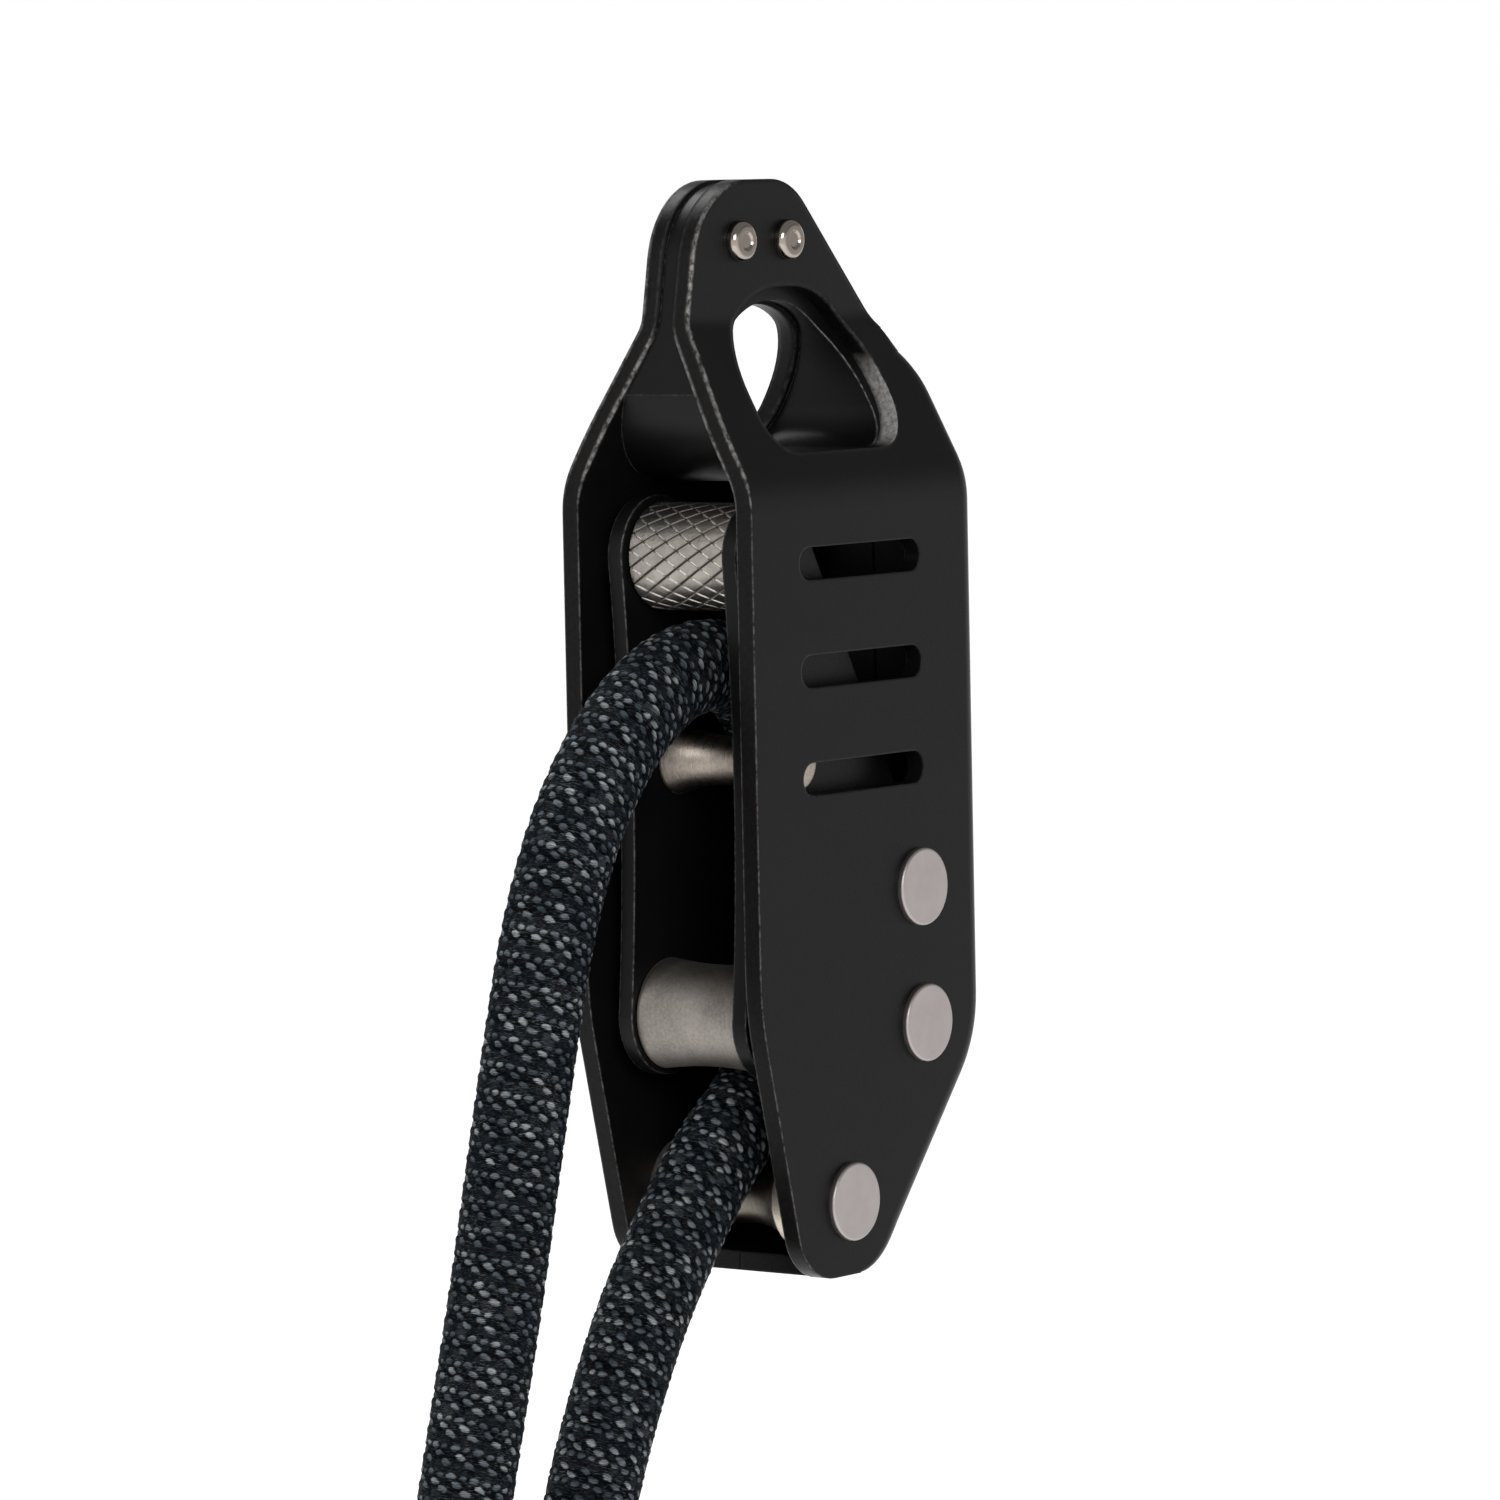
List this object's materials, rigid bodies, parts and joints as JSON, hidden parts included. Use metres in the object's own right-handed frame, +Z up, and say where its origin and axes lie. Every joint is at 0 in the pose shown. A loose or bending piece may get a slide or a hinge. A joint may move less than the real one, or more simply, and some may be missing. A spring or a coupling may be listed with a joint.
{
  "type": "rope ascender",
  "caption": "Rope ascender: two pressed half shells round a wedge block with a carabiner eye, and a swinging carriage of knurled drum and rollers that grips a climbing rope.",
  "frame": {"origin": "centre of the carabiner eye, on the mid plane between the two shells", "axes": "+Z up along the device towards its head, +X from the open rope side to the closed spine, +Y from the front shell to the back shell"},
  "size_m": [0.0965, 0.0298, 0.1738],
  "materials": {
    "shell": "black anodised, satin, fine grain",
    "spacer": "black anodised",
    "carriage": "blackened",
    "rivet_head": "brushed",
    "small_rivet": "polished",
    "steel": "turned, satin",
    "knurled_steel": "diamond knurl",
    "collar_steel": "turned",
    "bronze": "plain bearing bronze",
    "rope": "braided polyamide sheath, black with grey and navy flecks",
    "sleeve": "shrunk sleeve"
  },
  "bodies": {
    "frame": {"front_shell": "shell", "back_shell": "shell", "head_spacer": "spacer", "head_rivets": "small_rivet", "pivot_rivet": "rivet_head", "stop_rivet": "rivet_head", "foot_rivet": "rivet_head", "stop_sleeve": "collar_steel", "pivot_washers": "collar_steel", "foot_collars": "collar_steel"},
    "carriage": {"carriage_front_plate": "carriage", "carriage_back_plate": "carriage", "carriage_hub": "collar_steel", "knurled_drum": "knurled_steel", "drum_rivet": "steel", "middle_rivet": "steel", "lower_rivet": "steel", "rope": "rope", "rope_end_sleeves": "sleeve"},
    "middle_roller": {"middle_roller": "steel"},
    "lower_roller": {"lower_roller": "steel", "lower_roller_bush": "bronze"},
    "foot_roller": {"foot_roller": "steel"}
  },
  "joints": [
    {"name": "carriage_swing", "type": "hinge", "parent": "frame", "child": "carriage", "pos_m": [0.0104, 0, -0.0627], "axis": [0, 1, 0], "range_deg": [0, 3]},
    {"name": "middle_roller_spin", "type": "hinge", "parent": "carriage", "child": "middle_roller", "pos_m": [-0.00855, 0, -0.0465], "axis": [0, 1, 0], "continuous": true},
    {"name": "lower_roller_spin", "type": "hinge", "parent": "carriage", "child": "lower_roller", "pos_m": [-0.01145, 0, -0.0769], "axis": [0, 1, 0], "continuous": true},
    {"name": "foot_roller_spin", "type": "hinge", "parent": "frame", "child": "foot_roller", "pos_m": [-0.0046, 0, -0.0991], "axis": [0, 1, 0], "continuous": true}
  ]
}
